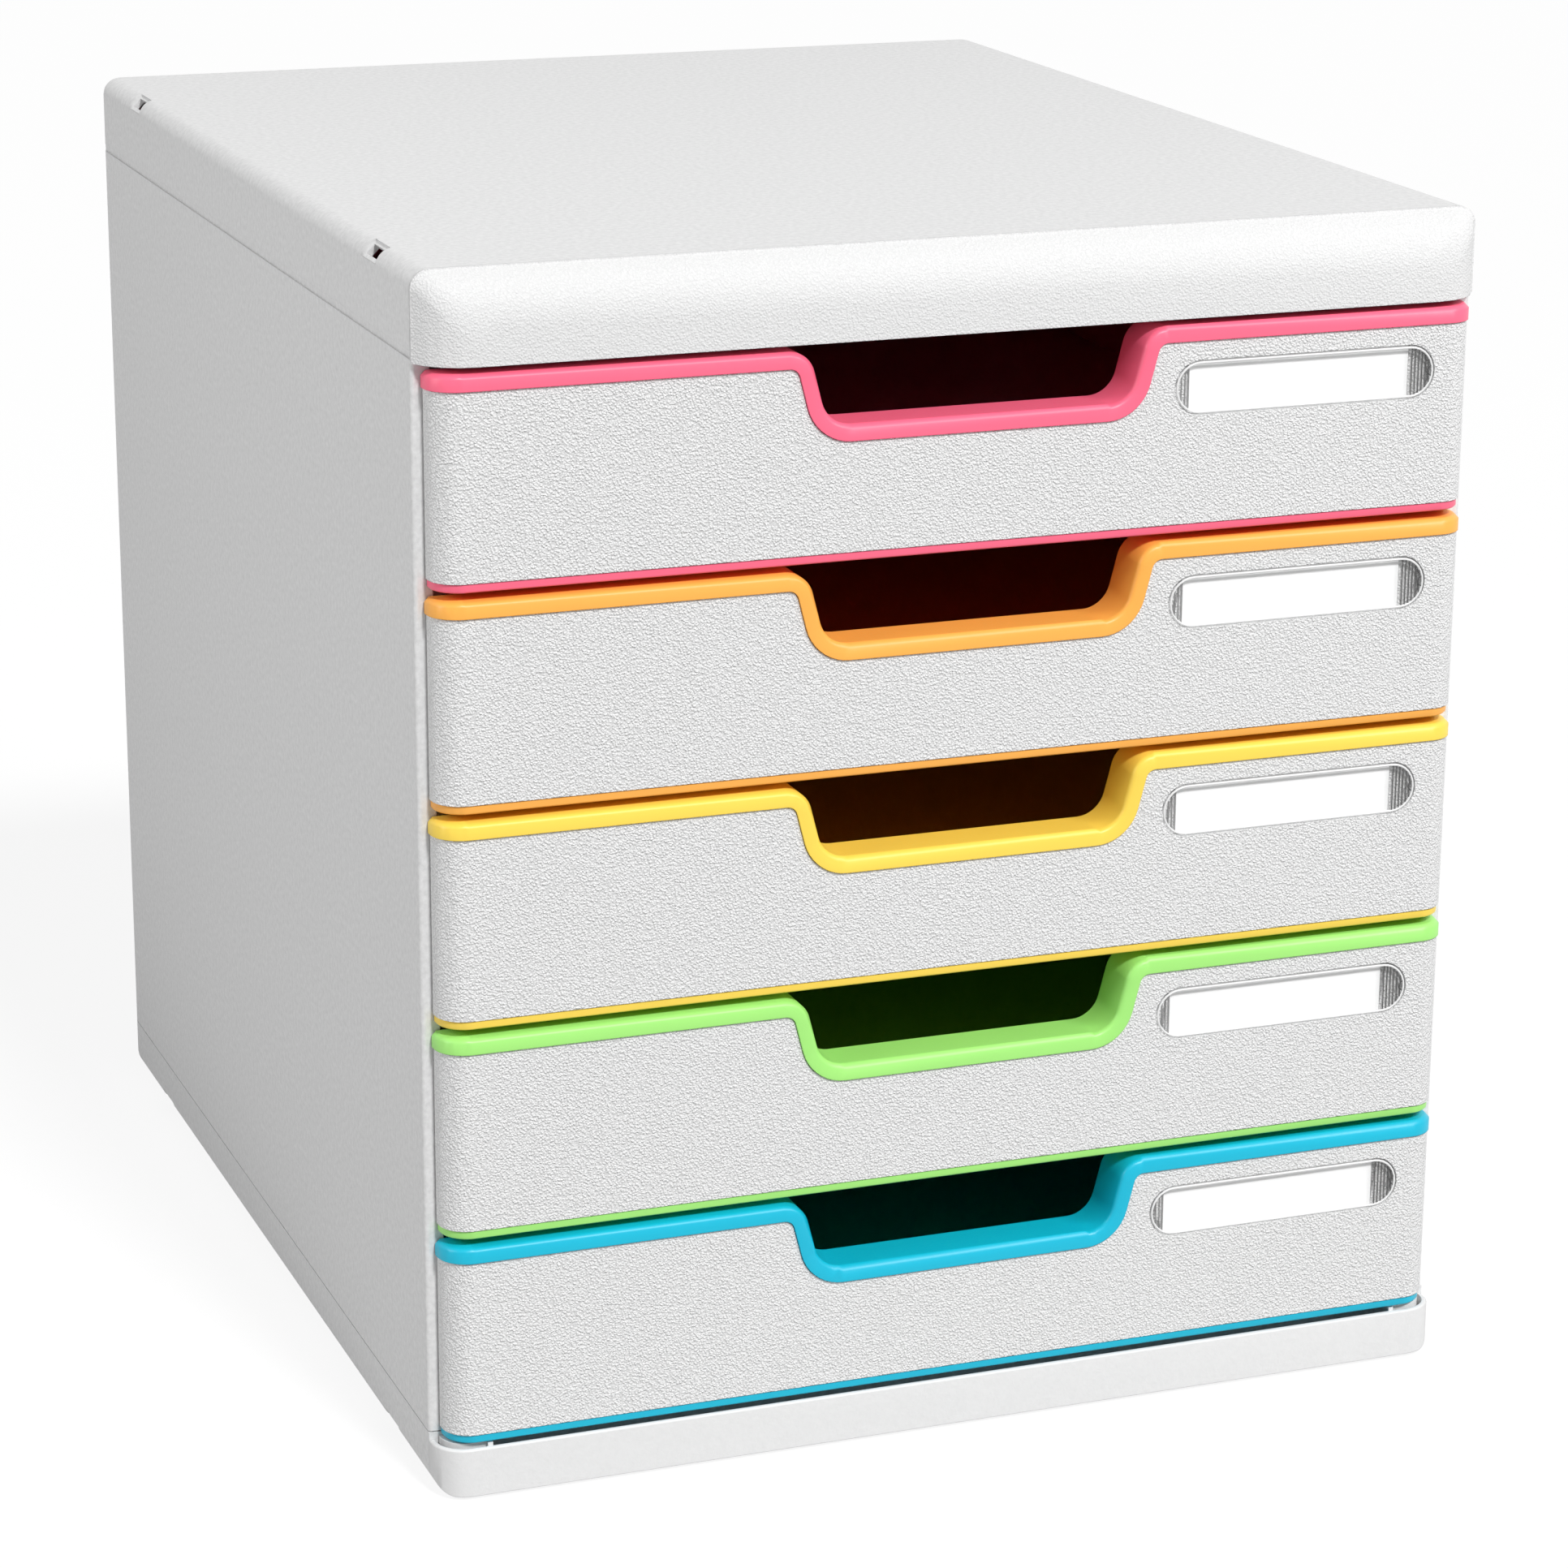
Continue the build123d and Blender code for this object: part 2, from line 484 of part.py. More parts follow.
def front_lip():
    """Coloured lip under the panel, bevelled below, with the plate that carries it."""
    half_width = FRONT_HALF_WIDTH - LIP_INSET
    plan = front_plan(half_width, FRONT_Y + LIP_INSET, FRONT_BACK_Y,
                      FRONT_CORNER_RADIUS - LIP_INSET / 2)
    lip = extrude(plan, LIP_HEIGHT)
    lower_edges = lip.edges().filter_by_position(Axis.Z, -0.01, 0.01)
    lower_edges = [edge for edge in lower_edges if edge.center().Y < FRONT_BACK_Y - 0.01]
    lip = chamfer(lower_edges, LIP_BEVEL)
    bridge = block(-TRAY_HALF_WIDTH, TRAY_HALF_WIDTH, FRONT_BACK_Y - TRAY_WALL, RIM_BACK_Y,
                   TRAY_LIFT, LIP_HEIGHT)
    return lip + bridge


def tray_box():
    """Open box of the tray, with round upright corners and a mouth behind the cut-out."""
    box = block(-TRAY_HALF_WIDTH, TRAY_HALF_WIDTH, TRAY_FRONT_Y, TRAY_BACK_Y,
                TRAY_LIFT, TRAY_TOP_Z)
    rear_corners = box.edges().filter_by(Axis.Z).group_by(Axis.Y)[-1]
    box = fillet(rear_corners, TRAY_REAR_RADIUS)
    hollow = block(-TRAY_HALF_WIDTH + TRAY_WALL, TRAY_HALF_WIDTH - TRAY_WALL,
                   RIM_BACK_Y, TRAY_BACK_Y - TRAY_WALL,
                   TRAY_LIFT + TRAY_FLOOR, FRONT_HEIGHT + 1)
    hollow = fillet(hollow.edges().filter_by(Axis.Z), TRAY_CORNER_RADIUS)
    front_wall = region_under_rim(RIM_RADIUS) & window_frame(TRAY_HALF_WIDTH, TRAY_LIFT, FRONT_HEIGHT)
    front_wall = slab_xz(front_wall, TRAY_FRONT_Y, RIM_BACK_Y)
    mouth = window_frame(CUTOUT_TOP_WIDTH, 0, FRONT_HEIGHT + 1) - region_under_rim(RIM_RADIUS)
    mouth = slab_xz(mouth, TRAY_FRONT_Y, RIM_BACK_Y)
    return (box - mouth - hollow) + front_wall


def tray_flanges():
    """Flanges that slide on the ledges, each with its stop lug, and the ears in front."""
    flange = block(TRAY_HALF_WIDTH - TRAY_WALL, FLANGE_HALF_WIDTH,
                   RUNNER_FRONT_Y, TRAY_BACK_Y - TRAY_REAR_RADIUS,
                   FLANGE_BOTTOM_Z, TRAY_TOP_Z)
    lug = block(TRAY_HALF_WIDTH + RUNNER_WALL_GAP, FLANGE_HALF_WIDTH - LUG_INSET,
                LUG_FRONT_Y, LUG_FRONT_Y + LUG_LENGTH, TRAY_TOP_Z, TRAY_TOP_Z + LUG_HEIGHT)
    ear = block(TRAY_HALF_WIDTH - TRAY_WALL,
                FRONT_HALF_WIDTH - PANEL_INSET - PANEL_WALL - PANEL_GAP,
                FRONT_BACK_Y - FRONT_EAR_WALL, FRONT_BACK_Y, LIP_HEIGHT / 2, RIM_LINE_Z)
    neck = block(TRAY_HALF_WIDTH - TRAY_WALL, TRAY_HALF_WIDTH,
                 FRONT_BACK_Y - FRONT_EAR_WALL, TRAY_FRONT_Y + TRAY_WALL, TRAY_LIFT, TRAY_TOP_Z)
    return both_sides(flange + lug + ear + neck)


def drawer_tray():
    """One coloured moulding: box, front wall, rim, lip and runner flanges."""
    return tray_box() + tray_flanges() + rim_shelf() + front_lip() + rim_bead()


def drawer_front():
    """Pale clip-on panel between rim and lip, with its cut-out and label pocket."""
    half_width = FRONT_HALF_WIDTH - PANEL_INSET
    face_y = FRONT_Y + PANEL_INSET
    outer = front_plan(half_width, face_y, FRONT_BACK_Y, FRONT_CORNER_RADIUS - PANEL_INSET)
    inner = front_plan(half_width - PANEL_WALL, face_y + PANEL_WALL, FRONT_BACK_Y,
                       FRONT_CORNER_RADIUS - PANEL_INSET - PANEL_WALL)
    shell = extrude(outer - inner, FRONT_HEIGHT)
    area = region_under_rim(-RIM_RADIUS - PANEL_GAP)
    area &= window_frame(FRONT_HALF_WIDTH, LIP_HEIGHT + PANEL_GAP, FRONT_HEIGHT)
    panel = shell & slab_xz(area, FRONT_Y, SHELL_FRONT_Y)
    return panel - slab_xz(window_outline(0), face_y, face_y + WINDOW_POCKET)


def window_outline(gap):
    """The round-ended label window, smaller by a gap all round."""
    z = FRONT_HEIGHT - 2 * RIM_RADIUS - WINDOW_DROP
    return Pos(WINDOW_CENTRE, z) * SlotOverall(WINDOW_WIDTH - 2 * gap, WINDOW_HEIGHT - 2 * gap)


def card_strip(gap):
    """The part of the window that the card takes up, with a gap at its two ends."""
    x0 = WINDOW_LEFT + LENS_LEFT_END - gap
    x1 = WINDOW_RIGHT - LENS_RIGHT_END + gap
    return Pos((x0 + x1) / 2, FRONT_HEIGHT / 2) * Rectangle(x1 - x0, FRONT_HEIGHT)


def label_lens():
    """Clear cover of the label window, thicker at its two ends beyond the card."""
    pocket_floor_y = FRONT_Y + PANEL_INSET + WINDOW_POCKET
    back_y = pocket_floor_y - CARD_THICKNESS - PANEL_GAP
    outline = window_outline(LENS_GAP)
    plate = slab_xz(outline, back_y - LENS_THICKNESS, back_y)
    ends = slab_xz(outline - card_strip(LENS_GAP), back_y - LENS_THICKNESS, pocket_floor_y)
    return plate + ends


def label_card():
    """Blank paper card between the lens and the panel."""
    pocket_floor_y = FRONT_Y + PANEL_INSET + WINDOW_POCKET
    card = window_outline(LENS_GAP) & card_strip(0)
    return slab_xz(card, pocket_floor_y - CARD_THICKNESS, pocket_floor_y)


# ---- all pieces -------------------------------------------------------------------------
def cabinet_pieces():
    left = left_side_panel()
    return {
        "top_cover": top_cover(),
        "top_fascia": top_fascia(),
        "left_side_panel": left,
        "right_side_panel": mirror(left, about=Plane.YZ),
        "back_panel": back_panel(),
        "base_tray": base_tray(),
        "base_fascia": base_fascia(),
        "feet": feet(),
    }


def drawer_pieces():
    shapes = {
        "tray": drawer_tray(),
        "front": drawer_front(),
        "label_lens": label_lens(),
        "label_card": label_card(),
    }
    pieces = {}
    for index in range(DRAWER_COUNT):
        for name, shape in shapes.items():
            pieces[f"drawer_{index + 1}_{name}"] = Pos(0, 0, drawer_base_z(index)) * shape
    return pieces


def main():
    os.makedirs("parts", exist_ok=True)
    pieces = {**cabinet_pieces(), **drawer_pieces()}
    for name, shape in pieces.items():
        export_step(shape, f"parts/{name}.step")
    print(f"{len(pieces)} pieces, drawer front {FRONT_HEIGHT:.2f} mm, pitch {DRAWER_PITCH:.2f} mm")


main()
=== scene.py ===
from math import cos, pi, radians, sin, sqrt

import bpy
from mathutils import Matrix, Vector


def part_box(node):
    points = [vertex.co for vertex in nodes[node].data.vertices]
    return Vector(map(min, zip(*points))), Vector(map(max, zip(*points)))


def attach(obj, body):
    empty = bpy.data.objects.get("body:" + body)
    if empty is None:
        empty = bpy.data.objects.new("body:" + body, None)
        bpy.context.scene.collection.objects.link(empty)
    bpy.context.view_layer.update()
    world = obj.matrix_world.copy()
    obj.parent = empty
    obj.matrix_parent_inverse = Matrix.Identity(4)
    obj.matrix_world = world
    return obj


# Desk-top drawer tower, dressed for its photograph.  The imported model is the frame:
# X points right as seen from the front, Y to the back, Z up, and lengths are in metres.

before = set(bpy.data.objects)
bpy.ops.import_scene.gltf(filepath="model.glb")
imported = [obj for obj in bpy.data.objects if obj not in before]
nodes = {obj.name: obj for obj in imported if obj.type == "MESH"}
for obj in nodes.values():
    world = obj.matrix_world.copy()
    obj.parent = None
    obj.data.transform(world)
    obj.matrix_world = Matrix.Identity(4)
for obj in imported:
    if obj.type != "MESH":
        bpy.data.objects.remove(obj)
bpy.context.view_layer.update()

DRAWERS = ("drawer_1", "drawer_2", "drawer_3", "drawer_4", "drawer_5")
MATT_NODES = ("top_cover", "left_side_panel", "right_side_panel", "back_panel", "base_tray")

# 8-bit display colours; a pair is the darkest and the palest tone of a grain.
TRAY_COLOURS = {
    "drawer_1": (252, 108, 138),
    "drawer_2": (252, 178, 80),
    "drawer_3": (251, 216, 86),
    "drawer_4": (163, 233, 122),
    "drawer_5": (12, 183, 213),
}
CABINET_GREY = (225, 225, 225)
FRONT_GREY = (232, 232, 232)
CLEAR = (252, 252, 252)
# The lens ribs have a lit and a shaded copy of one grey clear plastic: the right end's darker ribs and
# latch mark are painted shade and reflection, the left end's paler ribs are the lit copy.
LIT_RIB_GREY = (150, 150, 150)
SHADED_RIB_GREY = (96, 96, 96)
PAPER_WHITES = ((252, 252, 252), (255, 255, 255))
RUBBER_GREYS = ((58, 59, 61), (76, 77, 79))
WHITE = (1, 1, 1, 1)

# Plastics.  Sizes and depths of grain are in metres, contrasts are shares of the colour.
PLASTIC_IOR = 1.46
CABINET_CONTRAST = 0.22
BASE_TRIM_CONTRAST = 0.04
TRAY_CONTRAST = 0.03
CLEAR_CONTRAST = 0.02
# The contrast of these pebbled grains paints the pebbles' tops paler and their hollows darker, partly
# as painted highlight and painted shade.
FRONT_GRAIN = {"depth": 0.00028, "contrast": 0.16, "roughness": 0.46}
TOP_TRIM_GRAIN = {"depth": 0.00014, "contrast": 0.05, "roughness": 0.7}
PEBBLE_SIZE = 0.0006
PEBBLE_ROUGHNESS_REACH = 0.1
PEBBLE_WARP = 0.7            # lumps of the warp for each pebble
PEBBLE_SMOOTHNESS = 0.35
PEBBLE_EDGE = (0.1, 0.75)    # distances from a cell's middle where its top ends and its foot is
NOISE_RANGE = (0.25, 0.75)   # most of a noise's values lie between these
EDGE_ROUNDING = 0.0003
EDGE_SAMPLES = 4
LENS_ALPHA = 0.03
# Opacities of the lit and the shaded copy of the rib plastic.
LIT_RIB_ALPHA = 0.6
SHADED_RIB_ALPHA = 0.8
# The rim's near-opaque white is a painted highlight along the lens's edge.
RIM_HIGHLIGHT_ALPHA = 0.8

# Shading of the solids' rounded edges.
SMOOTH_BELOW = radians(50)
WELD_DISTANCE = 0.000005
FACE_AREA_WEIGHT = 100

# Trim of the label lenses.
TUBE_SIDES = 6
RIB_PITCH = 0.001
RIB_RADIUS = 0.00018
RIM_RADIUS = 0.00032
RIM_STEPS = 14               # chords in each round end of the rim
LENS_RIM = 0.0005
LATCH_RADIUS = 0.0013
LATCH_START = radians(100)
LATCH_END = radians(260)
LATCH_STEPS = 8

# Camera, in the photograph's square frame.
PHOTO_SIZE = 1932
CAMERA_PLACE = (-0.44613, -1.22748, 0.52373)
CAMERA_YAW = 0.3593
CAMERA_PITCH = -0.2929
CAMERA_ROLL = 0.0061
FOCAL_PIXELS = 5724.5
SENSOR_WIDTH = 36.0          # millimetres
CLIP_END = 100

# Light.  A level of 1 shows a white surface that faces the lamp as just white.
AIM = (0, 0, 0.16)
KEY_LIGHT = {"towards": (0.12, -0.66, 0.70), "level": 0.74, "softness": radians(9)}
LAMPS = {
    "right_lamp": {"place": (0.9, -1.0, 1.1), "size": 0.5, "level": 0.30},
    "left_lamp": {"place": (-1.1, -0.25, 0.7), "size": 0.5, "level": 0.26},
}
WORLD_LEVEL = 0.18
BACKDROP_LEVEL = 1.0
FLOOR_REACH = 8.0
FLOOR_TONE = 0.5
FLOOR_GLOW = 1.25
FLOOR_GLOW_SHARE = 0.7       # of what is seen; the rest keeps the object's shadow


# ---- colour and nodes -----------------------------------------------------------------
def srgb(red, green, blue):
    """Linear colour of an 8-bit display colour, by the sRGB formula."""
    linear = []
    for value in (red, green, blue):
        share = value / 255
        linear.append(share / 12.92 if share <= 0.04045 else ((share + 0.055) / 1.055) ** 2.4)
    return (*linear, 1.0)


def shade(colour, factor):
    """The colour times a factor, no brighter than white."""
    return (*(min(1.0, channel * factor) for channel in colour[:3]), 1.0)


def tones(colour, contrast):
    """The darkest and the palest tone of a colour with this contrast."""
    return shade(colour, 1 - contrast), shade(colour, 1 + contrast)


def new_plastic(name):
    """A new material; returns it and its Principled shader."""
    material = bpy.data.materials.new(name)
    material.use_nodes = True
    shader = material.node_tree.nodes["Principled BSDF"]
    shader.inputs["IOR"].default_value = PLASTIC_IOR
    return material, shader


def add_node(material, kind, **inputs):
    """A new node of this kind with these inputs set."""
    node = material.node_tree.nodes.new(kind)
    for name, value in inputs.items():
        node.inputs[name].default_value = value
    return node


def link(material, source, target):
    material.node_tree.links.new(source, target)


def object_place(material):
    """Coordinates in metres, fixed to the piece."""
    return add_node(material, "ShaderNodeTexCoord").outputs["Object"]


def noise(material, size, detail=2.0, roughness=0.5):
    """Noise whose lumps are about this large, in metres."""
    node = add_node(material, "ShaderNodeTexNoise", Scale=1 / size, Detail=detail, Roughness=roughness)
    link(material, object_place(material), node.inputs["Vector"])
    return node.outputs["Fac"]


def remap(material, value, old, new):
    """Stretches the range old on to the range new; each is a start and an end."""
    reach = add_node(material, "ShaderNodeMapRange")
    for name, number in zip(("From Min", "From Max", "To Min", "To Max"), (*old, *new)):
        reach.inputs[name].default_value = number
    link(material, value, reach.inputs["Value"])
    return reach.outputs["Result"]


def pebbles(material, size):
    """Height of a pebbled grain: rounded cells pulled out of shape by noise."""
    place = object_place(material)
    warp = add_node(material, "ShaderNodeTexNoise", Scale=PEBBLE_WARP / size, Detail=1.0)
    link(material, place, warp.inputs["Vector"])
    push = add_node(material, "ShaderNodeVectorMath")
    push.operation = "MULTIPLY_ADD"
    push.inputs[1].default_value = (size, size, size)
    link(material, warp.outputs["Color"], push.inputs[0])
    link(material, place, push.inputs[2])
    cells = add_node(material, "ShaderNodeTexVoronoi", Scale=1 / size)
    cells.feature = "SMOOTH_F1"
    cells.inputs["Smoothness"].default_value = PEBBLE_SMOOTHNESS
    link(material, push.outputs["Vector"], cells.inputs["Vector"])
    return remap(material, cells.outputs["Distance"], PEBBLE_EDGE, (1.0, 0.0))


def tint(material, shader, grain, colours):
    """Base colour that follows the grain, from the first colour to the second."""
    mix = add_node(material, "ShaderNodeMix")
    mix.data_type = "RGBA"
    mix.inputs["A"].default_value = colours[0]
    mix.inputs["B"].default_value = colours[1]
    link(material, grain, mix.inputs["Factor"])
    link(material, mix.outputs["Result"], shader.inputs["Base Color"])


def gloss(material, shader, grain, roughness):
    """Roughness that follows the grain, from the first number to the second."""
    link(material, remap(material, grain, NOISE_RANGE, roughness), shader.inputs["Roughness"])


def emboss(material, shader, grain, depth, strength=1.0):
    """Bumps of this depth in metres, over edges that are very slightly rounded."""
    rounding = add_node(material, "ShaderNodeBevel", Radius=EDGE_ROUNDING)
    rounding.samples = EDGE_SAMPLES
    bump = add_node(material, "ShaderNodeBump", Distance=depth, Strength=strength)
    link(material, grain, bump.inputs["Height"])
    link(material, rounding.outputs["Normal"], bump.inputs["Normal"])
    link(material, bump.outputs["Normal"], shader.inputs["Normal"])


# ---- materials ------------------------------------------------------------------------
def matt_grey(name, colour, contrast):
    """Cabinet plastic with a very fine matt grain."""
    material, shader = new_plastic(name)
    grain = noise(material, size=0.0016, detail=3.0, roughness=0.6)
    tint(material, shader, grain, tones(colour, contrast))
    gloss(material, shader, grain, roughness=(0.46, 0.6))
    emboss(material, shader, grain, depth=0.00012, strength=0.8)
    return material


def pebbled_grey(name, colour, depth, contrast, roughness):
    """Pale plastic with a raised leather-like grain, glossier on its pebbles, its colour paler on the
    pebbles' tops and darker in their hollows: partly the grain's own tone, partly painted highlight
    and painted shade.
    """
    material, shader = new_plastic(name)
    grain = pebbles(material, PEBBLE_SIZE)
    # Colour follows pebble height: paler tops as painted highlight, darker hollows as painted shade.
    tint(material, shader, grain, tones(colour, contrast))
    hollows = roughness + PEBBLE_ROUGHNESS_REACH
    tops = roughness - PEBBLE_ROUGHNESS_REACH
    gloss(material, shader, grain, roughness=(hollows, tops))
    emboss(material, shader, grain, depth=depth)
    return material


def satin_colour(name, colour):
    """Coloured tray plastic: smooth, with a soft gloss."""
    material, shader = new_plastic(name)
    flow = noise(material, size=0.03, detail=3.0)
    grain = noise(material, size=0.0009)
    tint(material, shader, flow, tones(colour, TRAY_CONTRAST))
    gloss(material, shader, grain, roughness=(0.33, 0.44))
    emboss(material, shader, grain, depth=0.00002, strength=0.4)
    return material


def clear_plastic(name, colour, alpha):
    """Thin clear plastic; the lens trim also uses it, near-opaque, for painted highlight and painted
    shade.
    """
    material, shader = new_plastic(name)
    shader.inputs["Alpha"].default_value = alpha
    haze = noise(material, size=0.004)
    tint(material, shader, haze, (shade(colour, 1 - CLEAR_CONTRAST), colour))
    gloss(material, shader, haze, roughness=(0.06, 0.12))
    return material


def paper(name):
    """Smooth white card."""
    material, shader = new_plastic(name)
    fibres = noise(material, size=0.0006, detail=4.0, roughness=0.7)
    tint(material, shader, fibres, [srgb(*colour) for colour in PAPER_WHITES])
    gloss(material, shader, fibres, roughness=(0.65, 0.8))
    emboss(material, shader, fibres, depth=0.00003, strength=0.4)
    return material


def rubber(name):
    """Dark non-slip rubber."""
    material, shader = new_plastic(name)
    grain = noise(material, size=0.0012, detail=3.0)
    tint(material, shader, grain, [srgb(*colour) for colour in RUBBER_GREYS])
    gloss(material, shader, grain, roughness=(0.65, 0.85))
    emboss(material, shader, grain, depth=0.0001)
    return material


def dress(node, material):
    """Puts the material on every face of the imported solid."""
    for slot in nodes[node].material_slots:
        slot.material = material


def round_shading(node):
    """Shades the flats of rounded edges as one curve, and leaves real corners sharp."""
    piece = nodes[node]
    normals = piece.data.attributes.get("custom_normal")
    if normals:
        piece.data.attributes.remove(normals)
    piece.data.shade_smooth()
    weld = piece.modifiers.new("weld", "WELD")
    weld.merge_threshold = WELD_DISTANCE
    corners = piece.modifiers.new("corners", "EDGE_SPLIT")
    corners.split_angle = SMOOTH_BELOW
    weighted = piece.modifiers.new("weighted", "WEIGHTED_NORMAL")
    weighted.weight = FACE_AREA_WEIGHT
    weighted.keep_sharp = True


# ---- trim of the label lenses -----------------------------------------------------------
def tube(path, radius, closed=False):
    """Corners and faces of a thin tube along points that share one depth."""
    corners = []
    for index, point in enumerate(path):
        before = path[index - 1] if index or closed else point
        after = path[(index + 1) % len(path)] if closed or index + 1 < len(path) else point
        along = (after - before).normalized()
        across = Vector((along.z, 0, -along.x))
        for side in range(TUBE_SIDES):
            angle = 2 * pi * side / TUBE_SIDES
            corners.append(point + radius * (cos(angle) * across + sin(angle) * Vector((0, 1, 0))))
    faces = []
    for ring in range(len(path) if closed else len(path) - 1):
        first = ring * TUBE_SIDES
        second = (ring + 1) % len(path) * TUBE_SIDES
        for side in range(TUBE_SIDES):
            following = (side + 1) % TUBE_SIDES
            faces.append((first + side, first + following, second + following, second + side))
    return corners, faces


def tubes_piece(name, drawer, tubes, material):
    """One piece made of several tubes, which rides on its drawer."""
    corners = []
    faces = []
    for tube_corners, tube_faces in tubes:
        first = len(corners)
        corners.extend(tube_corners)
        faces.extend([tuple(first + index for index in face) for face in tube_faces])
    mesh = bpy.data.meshes.new(name)
    mesh.from_pydata(corners, [], faces)
    mesh.shade_smooth()
    mesh.materials.append(material)
    piece = bpy.data.objects.new(name, mesh)
    bpy.context.scene.collection.objects.link(piece)
    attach(piece, drawer)


def arc(centre, radius, start, end, steps):
    """Points on an arc seen from the front; angles run from the right, upwards."""
    points = []
    for step in range(steps + 1):
        angle = start + (end - start) * step / steps
        points.append(centre + radius * Vector((cos(angle), 0, sin(angle))))
    return points


def end_ribs(start, sign, centre, radius):
    """Upright ribs from the card's end, towards sign, as far as the lens's round end."""
    ribs = []
    x = start + sign * RIB_PITCH / 2
    while sign * (x - centre.x) < radius - RIB_PITCH / 2:
        beyond = max(sign * (x - centre.x), 0)
        reach = sqrt(radius ** 2 - beyond ** 2) - 2 * RIB_RADIUS
        low = Vector((x, centre.y, centre.z - reach))
        high = Vector((x, centre.y, centre.z + reach))
        ribs.append(tube([low, high], RIB_RADIUS))
        x += sign * RIB_PITCH
    return ribs


def dress_lens(drawer, left_ribs_painted_light, right_ribs_painted_shade, rim_highlight_material):
    """Fine ribs at both ends of a label lens, a small latch mark, and its rim. The right end's ribs
    and latch take the shaded rib copy as painted shade; the rim is a tube along the lens's edge whose
    near-opaque white is a painted highlight.
    """
    lens_low, lens_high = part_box(f"{drawer}_label_lens")
    card_low, card_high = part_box(f"{drawer}_label_card")
    height = lens_high.z - lens_low.z
    radius = height / 2 - LENS_RIM
    left = Vector((lens_low.x + height / 2, lens_low.y, (lens_low.z + lens_high.z) / 2))
    right = Vector((lens_high.x - height / 2, left.y, left.z))
    tubes_piece(f"{drawer}_lens_ribs_left", drawer, end_ribs(card_low.x, -1, left, radius), left_ribs_painted_light)
    latch = arc(right + Vector((radius, 0, 0)), LATCH_RADIUS, LATCH_START, LATCH_END, LATCH_STEPS)
    ribs = end_ribs(card_high.x, 1, right, radius) + [tube(latch, RIB_RADIUS)]
    tubes_piece(f"{drawer}_lens_ribs_right", drawer, ribs, right_ribs_painted_shade)
    outline = arc(left, radius, radians(90), radians(270), RIM_STEPS)
    outline += arc(right, radius, radians(270), radians(450), RIM_STEPS)
    # The rim tube follows the lens's edge; its near-opaque white is a painted highlight.
    tubes_piece(f"{drawer}_lens_rim", drawer, [tube(outline, RIM_RADIUS, closed=True)], rim_highlight_material)


# ---- camera, floor and light ------------------------------------------------------------
def photo_camera():
    """Camera at the photograph's place, with the photograph's square frame."""
    forward = Vector((
        sin(CAMERA_YAW) * cos(CAMERA_PITCH),
        cos(CAMERA_YAW) * cos(CAMERA_PITCH),
        sin(CAMERA_PITCH),
    ))
    level_right = Vector((cos(CAMERA_YAW), -sin(CAMERA_YAW), 0))
    level_up = level_right.cross(forward)
    right = cos(CAMERA_ROLL) * level_right + sin(CAMERA_ROLL) * level_up
    up = cos(CAMERA_ROLL) * level_up - sin(CAMERA_ROLL) * level_right
    turn = Matrix((right, up, -forward)).transposed().to_4x4()
    camera = bpy.data.objects.new("photo_camera", bpy.data.cameras.new("photo_camera"))
    camera.matrix_world = Matrix.Translation(CAMERA_PLACE) @ turn
    camera.data.sensor_width = SENSOR_WIDTH
    camera.data.lens = SENSOR_WIDTH * FOCAL_PIXELS / PHOTO_SIZE
    camera.data.clip_end = CLIP_END
    bpy.context.scene.collection.objects.link(camera)
    bpy.context.scene.camera = camera


def sun(name, towards, level, softness):
    """A distant lamp; towards points from the object to the lamp."""
    light = bpy.data.lights.new(name, "SUN")
    light.energy = level * pi
    light.angle = softness
    piece = bpy.data.objects.new(name, light)
    piece.rotation_euler = Vector(towards).to_track_quat("Z", "Y").to_euler()
    bpy.context.scene.collection.objects.link(piece)


def lamp(name, place, size, level):
    """A round soft lamp aimed at the object, which lights what faces it at this level."""
    aim = Vector(AIM)
    away = Vector(place) - aim
    light = bpy.data.lights.new(name, "AREA")
    light.shape = "DISK"
    light.size = size
    light.energy = level * pi ** 2 * away.length_squared
    piece = bpy.data.objects.new(name, light)
    piece.matrix_world = Matrix.Translation(place) @ away.to_track_quat("Z", "Y").to_matrix().to_4x4()
    bpy.context.scene.collection.objects.link(piece)


def seen_rays(tree):
    """1 for rays that show a surface, be it straight, mirrored or through, and 0 for other light."""
    path = tree.nodes.new("ShaderNodeLightPath").outputs
    seen = path["Is Camera Ray"]
    for ray in ("Is Glossy Ray", "Is Transmission Ray"):
        larger = tree.nodes.new("ShaderNodeMath")
        larger.operation = "MAXIMUM"
        tree.links.new(seen, larger.inputs[0])
        tree.links.new(path[ray], larger.inputs[1])
        seen = larger.outputs[0]
    return seen


def mix_shaders(tree, share, first, second, surface):
    """Shows share of the second shader and the rest of the first on this surface."""
    mix = tree.nodes.new("ShaderNodeMixShader")
    tree.links.new(share, mix.inputs["Fac"])
    tree.links.new(first.outputs[0], mix.inputs[1])
    tree.links.new(second.outputs[0], mix.inputs[2])
    tree.links.new(mix.outputs[0], surface)


def white_world():
    """Even light all round, on a background that shows white."""
    world = bpy.data.worlds.new("studio")
    bpy.context.scene.world = world
    world.use_nodes = True
    tree = world.node_tree
    light = tree.nodes["Background"]
    backdrop = tree.nodes.new("ShaderNodeBackground")
    for background, level in ((light, WORLD_LEVEL), (backdrop, BACKDROP_LEVEL)):
        background.inputs["Color"].default_value = WHITE
        background.inputs["Strength"].default_value = level
    mix_shaders(tree, seen_rays(tree), light, backdrop, tree.nodes["World Output"].inputs["Surface"])


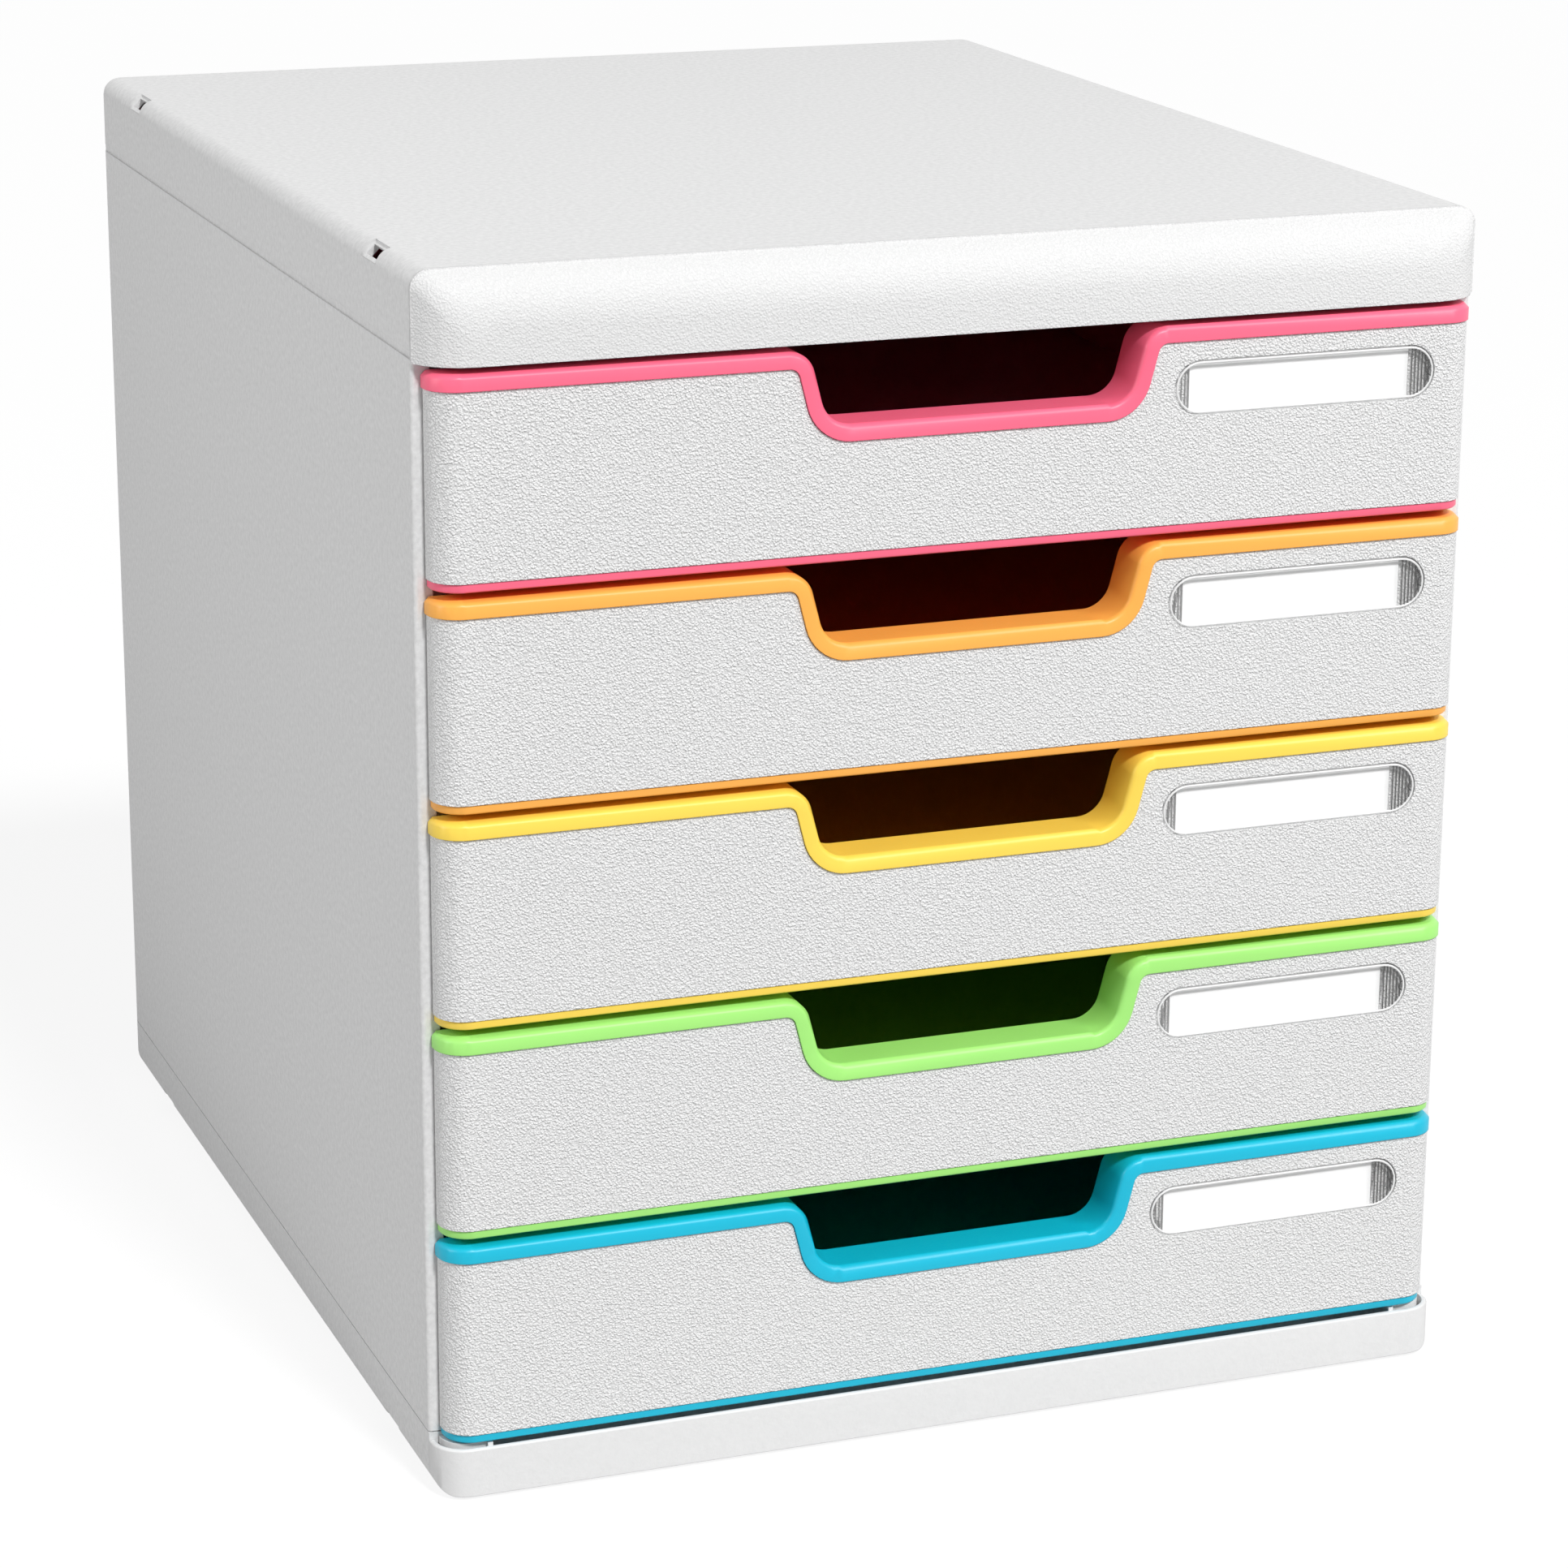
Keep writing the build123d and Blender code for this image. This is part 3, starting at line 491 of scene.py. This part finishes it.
def floor_material():
    """Lights the object as a pale floor does, shows white, and keeps a soft shadow."""
    material = bpy.data.materials.new("floor_white")
    material.use_nodes = True
    tree = material.node_tree
    tree.nodes.remove(tree.nodes["Principled BSDF"])
    matt = tree.nodes.new("ShaderNodeBsdfDiffuse")
    matt.inputs["Color"].default_value = (FLOOR_TONE, FLOOR_TONE, FLOOR_TONE, 1)
    glow = tree.nodes.new("ShaderNodeEmission")
    glow.inputs["Strength"].default_value = FLOOR_GLOW
    share = tree.nodes.new("ShaderNodeMath")
    share.operation = "MULTIPLY"
    share.inputs[1].default_value = FLOOR_GLOW_SHARE
    tree.links.new(seen_rays(tree), share.inputs[0])
    mix_shaders(tree, share.outputs[0], matt, glow, tree.nodes["Material Output"].inputs["Surface"])
    return material


def pale_floor(reach):
    """A square floor at the object's foot, this far out on each side."""
    mesh = bpy.data.meshes.new("floor")
    corners = [(-reach, -reach, 0), (reach, -reach, 0), (reach, reach, 0), (-reach, reach, 0)]
    mesh.from_pydata(corners, [], [(0, 1, 2, 3)])
    mesh.materials.append(floor_material())
    floor = bpy.data.objects.new("floor", mesh)
    bpy.context.scene.collection.objects.link(floor)


# ---- the object -----------------------------------------------------------------------
def dress_cabinet():
    """Materials of the cabinet's solids."""
    grey = srgb(*CABINET_GREY)
    cabinet_grey = matt_grey("cabinet_grey", grey, CABINET_CONTRAST)
    for node in MATT_NODES:
        dress(node, cabinet_grey)
    dress("top_fascia", pebbled_grey("fascia_textured", grey, **TOP_TRIM_GRAIN))
    dress("base_fascia", matt_grey("fascia_smooth", grey, BASE_TRIM_CONTRAST))
    dress("feet", rubber("foot_rubber"))


def dress_drawers():
    """Materials of the drawers' solids, and the trim of their lenses."""
    front_textured = pebbled_grey("front_textured", srgb(*FRONT_GREY), **FRONT_GRAIN)
    lens_clear = clear_plastic("lens_clear", srgb(*CLEAR), LENS_ALPHA)
    # Lit and shaded copies of the rib plastic: painted light on the left ends' ribs, painted shade on
    # the right ends' ribs.
    rib_painted_light = clear_plastic("rib_painted_light", srgb(*LIT_RIB_GREY), LIT_RIB_ALPHA)
    rib_painted_shade = clear_plastic("rib_painted_shade", srgb(*SHADED_RIB_GREY), SHADED_RIB_ALPHA)
    # Rim plastic: a painted highlight along each lens's edge.
    rim_painted_highlight = clear_plastic("rim_painted_highlight", srgb(*CLEAR), RIM_HIGHLIGHT_ALPHA)
    card_white = paper("card_white")
    for drawer in DRAWERS:
        dress(f"{drawer}_tray", satin_colour(f"{drawer}_plastic", srgb(*TRAY_COLOURS[drawer])))
        dress(f"{drawer}_front", front_textured)
        dress(f"{drawer}_label_lens", lens_clear)
        dress(f"{drawer}_label_card", card_white)
        dress_lens(drawer, rib_painted_light, rib_painted_shade, rim_painted_highlight)


photo_camera()
white_world()
sun("key_light", **KEY_LIGHT)
for name, settings in LAMPS.items():
    lamp(name, **settings)
pale_floor(FLOOR_REACH)
dress_cabinet()
dress_drawers()
for node_name in nodes:
    round_shading(node_name)

bpy.context.scene.view_settings.view_transform = "Standard"
